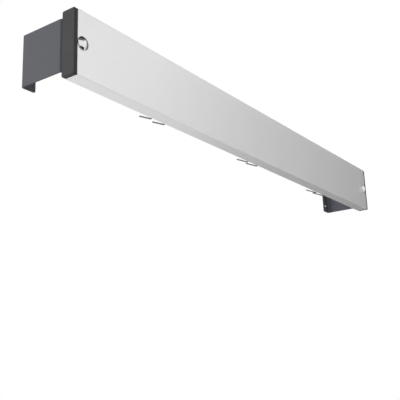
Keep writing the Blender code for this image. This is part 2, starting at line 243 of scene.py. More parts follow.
# Sockets 0, 6 and 7 of a colour mix are its factor and its two colours
anodised, tree, shader, place = material_tree("satin anodised aluminium")
stretched = add_node(tree, "ShaderNodeMapping", {
    "Vector": place, "Scale": (1 / DIE_LINE_LENGTH, 1 / DIE_LINE, 1 / DIE_LINE)})
lines = add_node(tree, "ShaderNodeTexNoise", {
    "Vector": stretched, "Scale": 1, "Detail": 3, "Roughness": 0.6})
grain = add_node(tree, "ShaderNodeTexNoise", {"Vector": place, "Scale": 1 / ETCH_GRAIN, "Detail": 2})
cloud = add_node(tree, "ShaderNodeTexNoise", {"Vector": place, "Scale": 1 / ANODISED_CLOUD, "Detail": 2})
tone = add_node(tree, "ShaderNodeMix", {
    0: cloud.outputs["Fac"], 6: linear("F2F2F2"), 7: linear("F6F6F6")}, data_type="RGBA")
satin = add_node(tree, "ShaderNodeMapRange", {
    "Value": lines.outputs["Fac"], "From Min": 0.3, "From Max": 0.7, "To Min": 0.37, "To Max": 0.45})
ridges = add_node(tree, "ShaderNodeMath", {
    0: lines.outputs["Fac"], 1: LINE_WEIGHT, 2: grain.outputs["Fac"]}, operation="MULTIPLY_ADD")
bump = add_node(tree, "ShaderNodeBump", {"Height": ridges, "Strength": 0.12, "Distance": 0.02 * MM})
shader.inputs["Metallic"].default_value = 1
dress(tree, shader, tone, satin, bump)
print("made", anodised.name)

# %% [markdown]
# ## Finishes: dark moulded plastic
#
# The end caps are injection moulded in a dark grey plastic. The mould's cavity was eroded by sparks,
# which leaves fine pits all over. They scatter the light, so the caps look matt next to the metal. The
# pits are about a tenth of a millimetre wide, and are drawn four times as wide.

# %% Moulded plastic
SPARK_PIT = 0.4 * MM
MOULD_FLOW = 25 * MM

plastic, tree, shader, place = material_tree("spark textured moulded ABS")
pits = add_node(tree, "ShaderNodeTexVoronoi", {
    "Vector": place, "Scale": 1 / SPARK_PIT, "Smoothness": 0.6}, feature="SMOOTH_F1")
flow = add_node(tree, "ShaderNodeTexNoise", {"Vector": place, "Scale": 1 / MOULD_FLOW, "Detail": 3})
tone = add_node(tree, "ShaderNodeMix", {
    0: flow.outputs["Fac"], 6: linear("2F2E2F"), 7: linear("373536")}, data_type="RGBA")
matt = add_node(tree, "ShaderNodeMapRange", {"Value": flow.outputs["Fac"], "To Min": 0.52, "To Max": 0.64})
bump = add_node(tree, "ShaderNodeBump", {
    "Height": pits.outputs["Distance"], "Strength": 0.35, "Distance": 0.06 * MM})
shader.inputs["IOR"].default_value = 1.53
dress(tree, shader, tone, matt, bump)
print("made", plastic.name)

# %% [markdown]
# ## Finishes: anthracite powder coat
#
# The brackets are steel, sprayed with dry powder that melts into one even skin. The melt keeps a slight
# waviness, called orange peel, a couple of millimetres from crest to crest, and a few pigment grains show
# as specks.

# %% Powder coat
ORANGE_PEEL = 2.2 * MM
PIGMENT_SPECK = 0.7 * MM

powder, tree, shader, place = material_tree("anthracite powder coat on steel")
peel = add_node(tree, "ShaderNodeTexNoise", {"Vector": place, "Scale": 1 / ORANGE_PEEL, "Detail": 1})
specks = add_node(tree, "ShaderNodeTexNoise", {"Vector": place, "Scale": 1 / PIGMENT_SPECK, "Detail": 2})
tone = add_node(tree, "ShaderNodeMix", {
    0: specks.outputs["Fac"], 6: linear("5B5D65"), 7: linear("65676F")}, data_type="RGBA")
gloss = add_node(tree, "ShaderNodeMapRange", {"Value": peel.outputs["Fac"], "To Min": 0.44, "To Max": 0.56})
bump = add_node(tree, "ShaderNodeBump", {
    "Height": peel.outputs["Fac"], "Strength": 0.4, "Distance": 0.05 * MM})
shader.inputs["IOR"].default_value = 1.5
dress(tree, shader, tone, gloss, bump)
print("made", powder.name)

# %% [markdown]
# ## Finishes: the plated fixings
#
# Bolts, hooks, washers and nuts are all plated steel, so they share one recipe with different values.
# Polished chrome mirrors the room with hardly any blur. The hooks' nickel is softer, because drawn wire
# is never quite smooth under its plating. Its tone is painted far darker than bright nickel, as painted
# shade for the shadow the hooks hang in behind the rail, which makes it show against a white wall. Zinc
# is dull, clouded in patches by its clear passivation. Rivets are bare aluminium, pressed and tumbled. In
# each, the blur wanders a little from place to place, which keeps plated metal from looking like paint.

# %% Plated and bare metals
GRAINS_PER_PATCH = 6


def plated(name, dark, light, smooth, rough, patch, relief):
    """A metal of two tones, with patches of this size that blur from smooth to rough."""
    made, tree, shader, place = material_tree(name)
    patches = add_node(tree, "ShaderNodeTexNoise", {"Vector": place, "Scale": 1 / patch, "Detail": 4})
    fine = add_node(tree, "ShaderNodeTexNoise", {
        "Vector": place, "Scale": GRAINS_PER_PATCH / patch, "Detail": 2})
    tone = add_node(tree, "ShaderNodeMix", {
        0: patches.outputs["Fac"], 6: linear(dark), 7: linear(light)}, data_type="RGBA")
    blur = add_node(tree, "ShaderNodeMapRange", {
        "Value": patches.outputs["Fac"], "From Min": 0.3, "From Max": 0.7,
        "To Min": smooth, "To Max": rough})
    bump = add_node(tree, "ShaderNodeBump", {
        "Height": fine.outputs["Fac"], "Strength": relief, "Distance": 0.02 * MM})
    shader.inputs["Metallic"].default_value = 1
    dress(tree, shader, tone, blur, bump)
    print("made", made.name)
    return made


# Each metal's darker and lighter tone, its roughness from and to, the size of its patches and its relief
chrome = plated("polished chrome plate", "DCDDDF", "E8E9EB", 0.05, 0.1, 5 * MM, 0.02)
# The wire's dark tone is painted shade, standing in for the shadow the hooks hang in behind the rail
shade_darkened_nickel = plated("dark nickel on drawn wire", "6C6C6F", "7A7A7C", 0.2, 0.3, 2.5 * MM, 0.08)
zinc = plated("clear passivated zinc plate", "A9ACB1", "BDBFC3", 0.3, 0.44, 3 * MM, 0.15)
alloy = plated("tumbled rivet aluminium", "BFC0C3", "CDCED0", 0.34, 0.46, 1.5 * MM, 0.2)
mandrel = plated("snapped steel mandrel", "55555A", "77777B", 0.4, 0.55, 0.8 * MM, 0.5)

# %% [markdown]
# ## Trees that make meshes
#
# A Geometry Nodes tree is a small machine: sizes go in and a mesh comes out. All trees here open and
# close alike, so two helpers hold what they share. A third runs a tree for given sizes and keeps the
# plain mesh. It sets each value by its socket's identifier, which is the key that a modifier keeps it
# under.

# %% Open, close and run a tree
def new_tree(name, **inputs):
    """An empty Geometry Nodes tree with one named input for each size or finish."""
    made = bpy.data.node_groups.new(name, "GeometryNodeTree")
    for label, kind in inputs.items():
        made.interface.new_socket(
            label.replace("_", " "), in_out="INPUT", socket_type="NodeSocket" + kind)
    made.interface.new_socket("Geometry", in_out="OUTPUT", socket_type="NodeSocketGeometry")
    return made, add_node(made, "NodeGroupInput").outputs


def end_tree(tree, geometry, finish, core_finish=None):
    """Makes instances real and gives them their finish, and another one where faces are marked as core."""
    real = add_node(tree, "GeometryNodeRealizeInstances", {"Geometry": geometry})
    painted = add_node(tree, "GeometryNodeSetMaterial", {"Geometry": real, "Material": finish})
    if core_finish:
        core = add_node(tree, "GeometryNodeInputNamedAttribute", {"Name": "core"}, data_type="BOOLEAN")
        painted = add_node(tree, "GeometryNodeSetMaterial", {
            "Geometry": painted, "Selection": core.outputs["Attribute"], "Material": core_finish})
    add_node(tree, "NodeGroupOutput", {"Geometry": painted})
    print("tree", tree.name, "has", len(tree.nodes), "nodes")


def grown(tree, start=None, **values):
    """The plain mesh that a tree makes from these values."""
    holder = working_object(start or bpy.data.meshes.new("nothing"))
    modifier = holder.modifiers.new(tree.name, "NODES")
    modifier.node_group = tree
    for item in tree.interface.items_tree:
        key = item.name.replace(" ", "_")
        if item.in_out == "INPUT" and key in values:
            modifier[item.identifier] = values[key]
    return plain_mesh(holder)


# %% [markdown]
# ## The rail: one section, drawn out
#
# An extrusion is one flat outline pushed along a line, and that is a rule, so Geometry Nodes make it. Two
# rectangles get rounded corners, the inner one becomes the hollow, the filled ring between them is pushed
# out to the rail's length, and a flipped copy closes the end that the push leaves open. A box with
# bevelled edges would look alike from outside, but it has no wall, and its length couldn't be changed
# without stretching its corners.

# %% A tree for extruded sections
WELD = 0.001 * MM

extrusion, given = new_tree(
    "extruded tube", Length="Float", Depth="Float", Height="Float", Wall="Float",
    Outer_radius="Float", Inner_radius="Float", Corner_steps="Int", Place="Vector", Finish="Material")
twice_wall = add_node(extrusion, "ShaderNodeMath", {0: given["Wall"], 1: 2}, operation="MULTIPLY")
rings = []
for radius, inset in ((given["Outer radius"], 0), (given["Inner radius"], twice_wall)):
    depth = add_node(extrusion, "ShaderNodeMath", {0: given["Depth"], 1: inset}, operation="SUBTRACT")
    height = add_node(extrusion, "ShaderNodeMath", {0: given["Height"], 1: inset}, operation="SUBTRACT")
    outline = add_node(extrusion, "GeometryNodeCurvePrimitiveQuadrilateral", {
        "Width": depth, "Height": height})
    rings.append(add_node(extrusion, "GeometryNodeFilletCurve", {
        "Curve": outline, "Count": given["Corner steps"], "Radius": radius}, mode="POLY"))
both = add_node(extrusion, "GeometryNodeJoinGeometry")
for ring in rings:
    extrusion.links.new(ring.outputs[0], both.inputs[0])
section = add_node(extrusion, "GeometryNodeFillCurve", {"Curve": both})
pushed = add_node(extrusion, "GeometryNodeExtrudeMesh", {
    "Mesh": section, "Offset": (0, 0, 1), "Offset Scale": given["Length"], "Individual": False})
start = add_node(extrusion, "GeometryNodeFlipFaces", {"Mesh": section})
whole = add_node(extrusion, "GeometryNodeJoinGeometry", {"Geometry": pushed.outputs["Mesh"]})
extrusion.links.new(start.outputs[0], whole.inputs[0])
welded = add_node(extrusion, "GeometryNodeMergeByDistance", {"Geometry": whole, "Distance": WELD})
laid = add_node(extrusion, "GeometryNodeTransform", {
    "Geometry": welded, "Translation": given["Place"], "Rotation": (pi / 2, 0, pi / 2)})
end_tree(extrusion, laid, given["Finish"])

# %% [markdown]
# The tube then gets its holes, as it does on the drill press: a square one in front for each bolt's neck,
# a round one behind it, and two small ones behind each hook. They are hidden by what goes through them,
# but they keep the pieces from running through each other.

# %% Draw out the rail and drill it
RAIL_WALL = 2 * MM
RAIL_CORNER = 1 * MM
RAIL_INNER_CORNER = 0.25 * MM
RAIL_CORNER_STEPS = 10
SEAT = 0.3 * MM
BOLT_DIAMETER = 8 * MM
BOLT_CLEARANCE = 0.5 * MM
RIVET_DIAMETER = 4 * MM
RIVET_CLEARANCE = 0.3 * MM
RIVET_HEIGHTS = [
    sum(corner.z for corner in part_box(f"hook_rivet_1_{end}")) / 2 for end in ("upper", "lower")]
SQUARE = 4
HOLE_SIDES = 32
SMALL_HOLE_SIDES = 24


def drill(diameter, place, sides):
    """A prism along Y that takes a hole out of the tube's wall. A square one is as wide as the diameter."""
    shape = bmesh.new()
    radius = diameter / 2 * (sqrt(2) if sides == SQUARE else 1)
    turn = Matrix.Rotation(pi / 4 if sides == SQUARE else 0, 4, "Y") @ Matrix.Rotation(pi / 2, 4, "X")
    bmesh.ops.create_cone(
        shape, cap_ends=True, segments=sides, radius1=radius, radius2=radius, depth=2 * RAIL_WALL,
        matrix=Matrix.Translation(place) @ turn)
    return as_mesh(shape)


def combined(mesh, tools, operation):
    """The mesh with each tool cut away or joined on."""
    piece = working_object(mesh)
    helpers = [working_object(tool) for tool in tools]
    for helper in helpers:
        step = piece.modifiers.new("step", "BOOLEAN")
        step.operation, step.solver, step.object = operation, "EXACT", helper
    result = plain_mesh(piece)
    for helper in helpers:
        bpy.data.objects.remove(helper)
    return result


tube = grown(
    extrusion, Length=2 * END_X, Depth=RAIL_DEPTH, Height=RAIL_HEIGHT, Wall=RAIL_WALL,
    Outer_radius=RAIL_CORNER, Inner_radius=RAIL_INNER_CORNER, Corner_steps=RAIL_CORNER_STEPS,
    Place=(-END_X, RAIL_MIDDLE_Y, 0), Finish=anodised)
front_wall, back_wall = FRONT_Y + RAIL_WALL / 2, BACK_Y - RAIL_WALL / 2
drills = []
for x in (-BOLT_X, BOLT_X):
    drills.append(drill(BOLT_DIAMETER + 2 * SEAT, (x, front_wall, 0), SQUARE))
    drills.append(drill(BOLT_DIAMETER + 2 * BOLT_CLEARANCE, (x, back_wall, 0), HOLE_SIDES))
for x in HOOK_PLACES:
    for z in RIVET_HEIGHTS:
        drills.append(drill(RIVET_DIAMETER + 2 * RIVET_CLEARANCE, (x, back_wall, z), SMALL_HOLE_SIDES))
drilled = combined(tube, drills, "DIFFERENCE")
finished("rail_profile", drilled, ["rail_tube"], "anodised_aluminium")

# %% [markdown]
# ## Rings and outlines
#
# A rounded plate is easy to think of as a stack of outlines, each a little smaller than the last, and a
# turned piece is a stack of circles. So one helper puts a skin over any stack of rings, and another draws
# the outline that plates and blanks start from. Bevelled boxes and cones would need a different recipe
# for each piece.

# %% A skin over rings, and outlines to stack
CORNER_STEPS = 8


def face_outwards(shape):
    """Makes the faces of a closed shape agree, and turns them round if its volume comes out negative."""
    bmesh.ops.recalc_face_normals(shape, faces=shape.faces)
    if shape.calc_volume(signed=True) < 0:
        bmesh.ops.reverse_faces(shape, faces=shape.faces)


def skinned(rings, looped=False):
    """A closed mesh over rings of points. A ring of one point is a pole, and looped rings make a tyre."""
    shape = bmesh.new()
    rows = [[shape.verts.new(point) for point in ring] for ring in rings]
    pairs = list(zip(rows, rows[1:])) + ([(rows[-1], rows[0])] if looped else [])
    for low, high in pairs:
        for i in range(max(len(low), len(high))):
            j = i + 1
            corners = [low[i % len(low)], low[j % len(low)], high[j % len(high)], high[i % len(high)]]
            shape.faces.new(list(dict.fromkeys(corners)))
    if not looped:
        for row in (rows[0], rows[-1]):
            if len(row) > 1:
                shape.faces.new(row)
    face_outwards(shape)
    return as_mesh(shape)


def rounded_outline(width, height, radius, middle=(0, 0), steps=CORNER_STEPS):
    points = []
    for corner, (sx, sy) in enumerate(((1, 1), (-1, 1), (-1, -1), (1, -1))):
        for k in range(steps + 1):
            angle = (corner + k / steps) * pi / 2
            points.append((middle[0] + sx * (width / 2 - radius) + radius * cos(angle),
                           middle[1] + sy * (height / 2 - radius) + radius * sin(angle)))
    return points


# %% [markdown]
# ## The end caps
#
# Each cap is a thin plate that covers the tube's end, and two tongues that push into the tube and hold it
# there. A moulding has no sharp edges: the plate's corners are rounder than the tube's, its outer rim is
# rounded too, and the tongues' tips taper so that they find their way in. The right cap is the left one,
# turned half round.

# %% Mould the end caps
CAP_CORNER = 2.5 * MM
CAP_RIM = 0.8 * MM
RIM_STEPS = 8
TONGUE_ROOT = 2 * MM
TONGUE_LENGTH = 16 * MM
TONGUE_HEIGHT = 24 * MM
TONGUE_LEAD = 1 * MM
TONGUE_CORNER = 1.5 * MM
TONGUE_CORNER_STEPS = 3
HALF_TURN = Matrix.Rotation(pi, 4, "Y")


def cap_ring(x, inset):
    outline = rounded_outline(
        RAIL_DEPTH - 2 * inset, RAIL_HEIGHT - 2 * inset, CAP_CORNER - inset, (RAIL_MIDDLE_Y, 0))
    return [(x, y, z) for y, z in outline]


def tongue(side):
    middle = (RAIL_MIDDLE_Y, side * (rail_high.z - RAIL_WALL - SEAT - TONGUE_HEIGHT / 2))
    depth = RAIL_DEPTH - 2 * (RAIL_WALL + SEAT)
    tip = -END_X + TONGUE_LENGTH
    steps = ((-END_X - TONGUE_ROOT, 0), (tip - TONGUE_LEAD, 0), (tip, TONGUE_LEAD))
    rings = []
    for x, inset in steps:
        outline = rounded_outline(
            depth - 2 * inset, TONGUE_HEIGHT - 2 * inset, TONGUE_CORNER - inset, middle,
            TONGUE_CORNER_STEPS)
        rings.append([(x, y, z) for y, z in outline])
    return skinned(rings)


def both_ends(name, mesh, node, slot, finish):
    """A piece at the left end, and a copy of it, turned half round, at the right end."""
    for end, turn in (("left", Matrix.Identity(4)), ("right", HALF_TURN)):
        copy = mesh.copy()
        copy.transform(turn)
        finished(f"{name}_{end}", copy, [f"{node}_{end}"], slot, finish)


cap_rings = [cap_ring(-END_X - SEAT, 0)]
for k in range(RIM_STEPS + 1):
    angle = k / RIM_STEPS * pi / 2
    cap_rings.append(cap_ring(-OUTER_X + CAP_RIM * (1 - sin(angle)), CAP_RIM * (1 - cos(angle))))
cap = combined(skinned(cap_rings), [tongue(-1), tongue(1)], "UNION")
both_ends("end_cap_moulding", cap, "end_cap", "dark_plastic", plastic)

# %% [markdown]
# ## Sheet metal: cut flat
#
# A sheet metal part starts as a flat blank with its holes cut, and is then folded over a press brake.
# Modelling follows the same order. A flat curve, filled and with a little bevel, gives the blank its
# thickness and eased rims, and any more outlines in the curve become holes.

# %% Cut a blank
BLANK_RIM_STEPS = 1


def blank(outlines, thickness, rim):
    """A flat plate with rounded rims. The first outline is its edge and the others are holes."""
    curve = bpy.data.curves.new("blank", "CURVE")
    curve.dimensions, curve.fill_mode = "2D", "BOTH"
    curve.extrude = thickness / 2 - rim
    curve.bevel_depth, curve.bevel_resolution, curve.offset = rim, BLANK_RIM_STEPS, -rim
    for outline in outlines:
        spline = curve.splines.new("POLY")
        spline.points.add(len(outline) - 1)
        for point, (x, y) in zip(spline.points, outline):
            point.co = (x, y, 0, 1)
        spline.use_cyclic_u = True
    return plain_mesh(working_object(curve))


def round_hole(x, y, diameter, steps=HOLE_SIDES):
    angles = [-2 * pi * k / steps for k in range(steps)]
    return [(x + diameter / 2 * cos(a), y + diameter / 2 * sin(a)) for a in angles]


# %% [markdown]
# ## Sheet metal: bent
#
# To fold the blank, every point of it is carried along the bent line of the sheet's middle. The line is a
# row of legs, each with a straight length and then a turn. New edges are first cut across the blank where
# it will bend, so that it can. Folding keeps the sheet's thickness even round each bend, which a bevelled
# box doesn't.

# %% Bend a blank
BEND_STEPS = 10
ROUNDING = 1e-6 * MM


def turned_towards(along, outward, angle):
    return along * cos(angle) + outward * sin(angle), outward * cos(angle) - along * sin(angle)


def bent(flat, start, along, outward, legs):
    """Carries a blank's points along its folded middle line. A leg is a length, then a turn at a radius."""
    across = outward.cross(along)
    stretches, lines, gone = [], [], 0
    for length, turn, radius in legs:
        stretches.append((gone, start, along, outward, 0, 1))
        gone, start = gone + length, start + along * length
        if turn:
            stretches.append((gone, start, along, outward, turn, radius))
            arc = abs(turn) * radius
            lines += [gone + arc * k / BEND_STEPS for k in range(BEND_STEPS + 1)]
            lift = radius * (1 - cos(turn)) * (1 if turn > 0 else -1)
            gone, start = gone + arc, start + along * radius * sin(abs(turn)) + outward * lift
            along, outward = turned_towards(along, outward, turn)
    shape = bmesh.new()
    shape.from_mesh(flat)
    bmesh.ops.remove_doubles(shape, verts=shape.verts, dist=WELD)
    for line in lines:
        everything = shape.verts[:] + shape.edges[:] + shape.faces[:]
        bmesh.ops.bisect_plane(
            shape, geom=everything, dist=WELD, plane_co=(line, 0, 0), plane_no=(1, 0, 0))
    for vertex in shape.verts:
        far, wide, high = vertex.co
        reached = [stretch for stretch in stretches if stretch[0] <= max(far, 0) + ROUNDING]
        begin, corner, along, outward, turn, radius = reached[-1]
        if turn:
            way = 1 if turn > 0 else -1
            angle = (far - begin) / radius
            corner = corner + along * radius * sin(angle) + outward * way * radius * (1 - cos(angle))
            outward = turned_towards(along, outward, way * angle)[1]
        else:
            corner = corner + along * (far - begin)
        vertex.co = corner + across * wide + outward * high
    face_outwards(shape)
    return as_mesh(shape)


# %% [markdown]
# ## The brackets
#
# Each bracket is a C, seen from above: a short flange on the rail's back, a web to the wall, and a second
# flange on the wall. The blank's length is that of the sheet's middle line, so the flanges come out as
# long as on the solid. The bolt goes through the first flange, and two screws go through the other one.

# %% Fold the wall brackets
SHEET = 2 * MM
INNER_BEND = 2.5 * MM
SHEET_RIM = 0.35 * MM
FLANGE_CORNER = 3 * MM
WALL_HOLE = 6.5 * MM
WALL_HOLE_INSET = 15 * MM
WALL_HOLE_SPACING = 50 * MM

bracket_low, bracket_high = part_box("wall_bracket_left")
bend_radius = INNER_BEND + SHEET / 2
flange_width = bracket_high.x - bracket_low.x
flange = flange_width - INNER_BEND - SHEET
web = bracket_high.y - bracket_low.y - 2 * (INNER_BEND + SHEET)
bracket_height = bracket_high.z - bracket_low.z
developed = 2 * flange + web + pi * bend_radius
edge = rounded_outline(developed, bracket_height, FLANGE_CORNER, (developed / 2, 0))
holes = [round_hole(bracket_high.x + BOLT_X, 0, BOLT_DIAMETER + 2 * BOLT_CLEARANCE)]
wall_hole_far = developed - (flange_width - WALL_HOLE_INSET)
holes += [round_hole(wall_hole_far, side * WALL_HOLE_SPACING / 2, WALL_HOLE) for side in (-1, 1)]
bracket = bent(
    blank([edge, *holes], SHEET, SHEET_RIM),
    Vector((bracket_high.x, bracket_low.y + SHEET / 2, 0)), Vector((-1, 0, 0)), Vector((0, -1, 0)),
    [(flange, -pi / 2, bend_radius), (web, -pi / 2, bend_radius), (flange, 0, 0)])
print("bracket blank in mm:", round(developed / MM, 2), "by", round(bracket_height / MM, 2))
both_ends("bracket_sheet", bracket, "wall_bracket", "anthracite_powder_coat", powder)

# %% [markdown]
# ## Turned pieces
#
# What comes off a lathe is a stack of rings about an axis. A ring's radius may depend on its angle too,
# which takes in squares, hexagons and threads. A dome is a stack whose radii follow a round cap. Shapes
# are turned about Z, and two rotations lay them down towards the front or towards the wall.

# %% Rings and domes
TO_FRONT = Matrix.Rotation(pi / 2, 4, "X")
TO_WALL = Matrix.Rotation(-pi / 2, 4, "X")


def ring(radius, height, sides):
    """A ring about the Z axis. Its radius is a number or a function of the angle, and 0 makes a pole."""
    if radius == 0:
        return [(0, 0, height)]
    angles = [2 * pi * k / sides for k in range(sides)]
    radii = [radius(a) if callable(radius) else radius for a in angles]
    return [(r * cos(a), r * sin(a), height) for r, a in zip(radii, angles)]


def turned(stack, sides, axis_turn, looped=False):
    """A mesh over a stack of radii and heights, with its axis laid down."""
    mesh = skinned([ring(radius, height, sides) for radius, height in stack], looped)
    mesh.transform(axis_turn)
    return mesh


def dome(radius, rise, base, steps):
    """Radius and height down a round cap, from its crown to its base."""
    sphere = (radius ** 2 + rise ** 2) / (2 * rise)
    sweep = asin(radius / sphere)
    angles = [sweep * k / steps for k in range(steps + 1)]
    return [(sphere * sin(a), base + rise - sphere * (1 - cos(a))) for a in angles]


# %% [markdown]
# ## The dome bolts
#
# In a bolt's head the rings are plain circles that grow down the dome. In the neck they are squares,
# which stop it turning in the rail. In the thread the radius depends on the angle, so that the crest
# climbs one pitch for every turn. It is an M8 thread, 1.25 mm from crest to crest. A spiral swept along a
# path would make the ridge as well, but as a second shell that only lies on the shank.

# %% Turn a dome bolt
BOLT_SIDES = 64
HEAD_RADIUS = 10 * MM
HEAD_RIM = 1 * MM
HEAD_DOME = 4 * MM
HEAD_DOME_STEPS = 16
HEAD_EASE = 0.25 * MM
NECK = 2 * MM
PITCH = 1.25 * MM
THREAD_DEPTH = 0.7 * MM
THREAD_SLOPE = 1.25
THREAD_CREST = 0.1
THREAD_CHAMFER = 0.8 * MM
RINGS_PER_PITCH = 8

bolt_radius = BOLT_DIAMETER / 2
bolt_length = bolt_high.y - bolt_low.y - HEAD_RIM - HEAD_DOME
thread_start = bolt_length - (bolt_high.y - BACK_Y)


def square_neck(angle):
    return bolt_radius / max(abs(cos(angle)), abs(sin(angle)))


def thread(gone):
    """The thread's radius round the bolt, this far down from the head."""
    cut = min(1, (gone - thread_start) / PITCH)
    limit = bolt_radius - THREAD_CHAMFER + bolt_length - gone

    def radius(angle):
        phase = (-gone / PITCH - angle / (2 * pi)) % 1
        valley = min(1, max(0, THREAD_SLOPE * (1 - abs(2 * phase - 1)) - THREAD_CREST))
        return min(limit, bolt_radius - THREAD_DEPTH * cut * valley)

    return radius


stack = dome(HEAD_RADIUS, HEAD_DOME, HEAD_RIM, HEAD_DOME_STEPS)
stack += [(HEAD_RADIUS, HEAD_EASE), (HEAD_RADIUS - HEAD_EASE, 0)]
stack += [(square_neck, 0), (square_neck, -NECK), (bolt_radius, -NECK), (bolt_radius, -thread_start)]
thread_rings = int((bolt_length - thread_start) / PITCH * RINGS_PER_PITCH)
for k in range(1, thread_rings + 1):
    gone = thread_start + (bolt_length - thread_start) * k / thread_rings
    stack.append((thread(gone), -gone))
stack.append((0, -bolt_length))
bolt_shape = turned(stack, BOLT_SIDES, TO_FRONT)
print("one bolt has", len(bolt_shape.polygons), "faces and", thread_rings, "rings of thread")

# %% [markdown]
# ## Washers and nuts
#
# Behind each bracket a washer spreads the nut's push. A nut is a hexagon whose corners are turned off at
# a slope of 30 degrees, so a ring near its end is a hexagon cut by a circle: of the two radii, the
# smaller one holds. The rings run down the outside and back up the bore, and the last one joins the
# first.

# %% Turn a washer and a nut
WASHER_EASE = 0.2 * MM
NUT_SIDES = 72
NUT_FLATS = 13 * MM
NUT_FACE = 0.95
NUT_SLOPE = pi / 6
NUT_CHAMFER_STEP = 0.18 * MM
NUT_CHAMFER_RINGS = 7
NUT_BORE = 4.3 * MM
BORE_MOUTH = 0.5 * MM


def mirrored_loop(half):
    return half + [(radius, -height) for radius, height in reversed(half)]


washer_low, washer_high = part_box("washer_left")
washer_radius, washer_half = (washer_high.x - washer_low.x) / 2, (washer_high.y - washer_low.y) / 2
bore = bolt_radius + BOLT_CLEARANCE
half = [(washer_radius, washer_half - WASHER_EASE), (washer_radius - WASHER_EASE, washer_half)]
half += [(bore + WASHER_EASE, washer_half), (bore, washer_half - WASHER_EASE)]
washer_shape = turned(mirrored_loop(half), BOLT_SIDES, TO_WALL, looped=True)

nut_low, nut_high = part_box("nut_left")
nut_half = (nut_high.y - nut_low.y) / 2
corner_turn = 0 if nut_high.x - nut_low.x > nut_high.z - nut_low.z else pi / 6


def hexagon_to(limit):
    def radius(angle):
        off_flat = (angle + corner_turn) % (pi / 3) - pi / 6
        return min(limit, NUT_FLATS / 2 / cos(off_flat))

    return radius


half = []
for k in reversed(range(NUT_CHAMFER_RINGS)):
    down = NUT_CHAMFER_STEP * k
    half.append((hexagon_to(NUT_FACE * NUT_FLATS / 2 + down / tan(NUT_SLOPE)), nut_half - down))
half += [(NUT_BORE + BORE_MOUTH, nut_half), (NUT_BORE, nut_half - BORE_MOUTH)]
nut_shape = turned(mirrored_loop(half), NUT_SIDES, TO_WALL, looped=True)
print("one washer has", len(washer_shape.polygons), "faces, one nut", len(nut_shape.polygons))

# %% [markdown]
# ## Blind rivets
#
# Nobody can reach inside a closed tube to hold a nut, so the hooks' saddles are riveted from outside. A
# mandrel pulls a blind rivet's tail into a bulb and then snaps off inside it, which leaves a small hole
# in the head with a dark, broken stub of steel at its bottom. An attribute on the faces marks that stub
# for a finish of its own.

# %% Turn a blind rivet
RIVET_SIDES = 40
RIVET_HEAD = 4 * MM
RIVET_DOME = 1.5 * MM
RIVET_DOME_STEPS = 14
RIVET_GRIP = 4.4 * MM
RIVET_BULB = 3.2 * MM
RIVET_BULB_LENGTH = 4 * MM
RIVET_BULB_STEPS = 8
BULB_MARGIN = 0.05
TAIL_SHARE = 0.7
MANDREL = 1 * MM
MANDREL_MOUTH = 1.2 * MM
MANDREL_STUB = 0.9 * MM
MANDREL_DEPTH = 0.8 * MM
STUB_RISE = 0.15 * MM
MOUTH_EASE = 0.1 * MM

shank = RIVET_DIAMETER / 2
tail = RIVET_GRIP + RIVET_BULB_LENGTH
head = [step for step in dome(RIVET_HEAD, RIVET_DOME, 0, RIVET_DOME_STEPS) if step[0] > MANDREL_MOUTH]
mouth = head[0][1]
stub = mouth - MANDREL_DEPTH
stack = [(0, stub + STUB_RISE), (MANDREL_STUB, stub), (MANDREL, mouth - MOUTH_EASE)]
stack += head + [(shank, 0), (shank, -RIVET_GRIP)]
for k in range(RIVET_BULB_STEPS + 1):
    share = k / RIVET_BULB_STEPS
    down = RIVET_BULB_LENGTH * (BULB_MARGIN + (1 - 2 * BULB_MARGIN) * share)
    stack.append((shank + (RIVET_BULB - shank) * sin(pi * share), -RIVET_GRIP - down))
stack += [(shank * TAIL_SHARE, -tail), (0, -tail)]
rivet_shape = skinned([ring(radius, height, RIVET_SIDES) for radius, height in stack])
core = rivet_shape.attributes.new("core", "BOOLEAN", "FACE")
for face in rivet_shape.polygons:
    from_axis = sqrt(face.center.x ** 2 + face.center.y ** 2)
    core.data[face.index].value = face.center.z > 0 and from_axis < MANDREL_STUB
rivet_shape.transform(TO_WALL)
print("one rivet has", len(rivet_shape.polygons), "faces")

# %% [markdown]
# ## Copies where the solids are
#
# Bolts, washers, nuts and rivets come several times over. A copy could be made by hand for each, but
# Geometry Nodes do it from a handful of points: the tree puts the shape on every point, makes the copies
# real, because an export drops instances, and gives them their finish.

# %% A tree for copies, and the fixings it places
copying, given = new_tree(
    "copies at points", Points="Geometry", Shape="Object", Finish="Material", Core_finish="Material")
shape = add_node(copying, "GeometryNodeObjectInfo", {"Object": given["Shape"]})
copied = add_node(copying, "GeometryNodeInstanceOnPoints", {
    "Points": given["Points"], "Instance": shape.outputs["Geometry"]})
end_tree(copying, copied, given["Finish"], given["Core finish"])


def copies(name, shape, places, nodes, slot, finish, core_finish=None):
    points = bpy.data.meshes.new("places")
    points.from_pydata(places, [], [])
    pattern = working_object(shape)
    mesh = grown(copying, points, Shape=pattern, Finish=finish, Core_finish=core_finish or finish)
    bpy.data.objects.remove(pattern)
    return finished(name, mesh, nodes, slot)


head_y = bolt_low.y + HEAD_DOME + HEAD_RIM
washer_y = (washer_low.y + washer_high.y) / 2
nut_y = (nut_low.y + nut_high.y) / 2
for end, x in (("left", -BOLT_X), ("right", BOLT_X)):
    for name, shape, y, node, slot, finish in (
        ("dome_bolt_threaded", bolt_shape, head_y, "dome_bolt", "chrome_plate", chrome),
        ("washer_turned", washer_shape, washer_y, "washer", "zinc_plate", zinc),
        ("nut_chamfered", nut_shape, nut_y, "nut", "zinc_plate", zinc),
    ):
        copies(f"{name}_{end}", shape, [(x, y, 0)], [f"{node}_{end}"], slot, finish)
rivet_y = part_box("hook_rivet_1_upper")[1].y - RIVET_DOME
for number, x in enumerate(HOOK_PLACES, start=1):
    rivets = [f"hook_rivet_{number}_{end}" for end in ("upper", "lower")]
    places = [(x, rivet_y, z) for z in RIVET_HEIGHTS]
    copies(f"blind_rivets_{number}", rivet_shape, places, rivets, "rivet_alloy", alloy, mandrel)

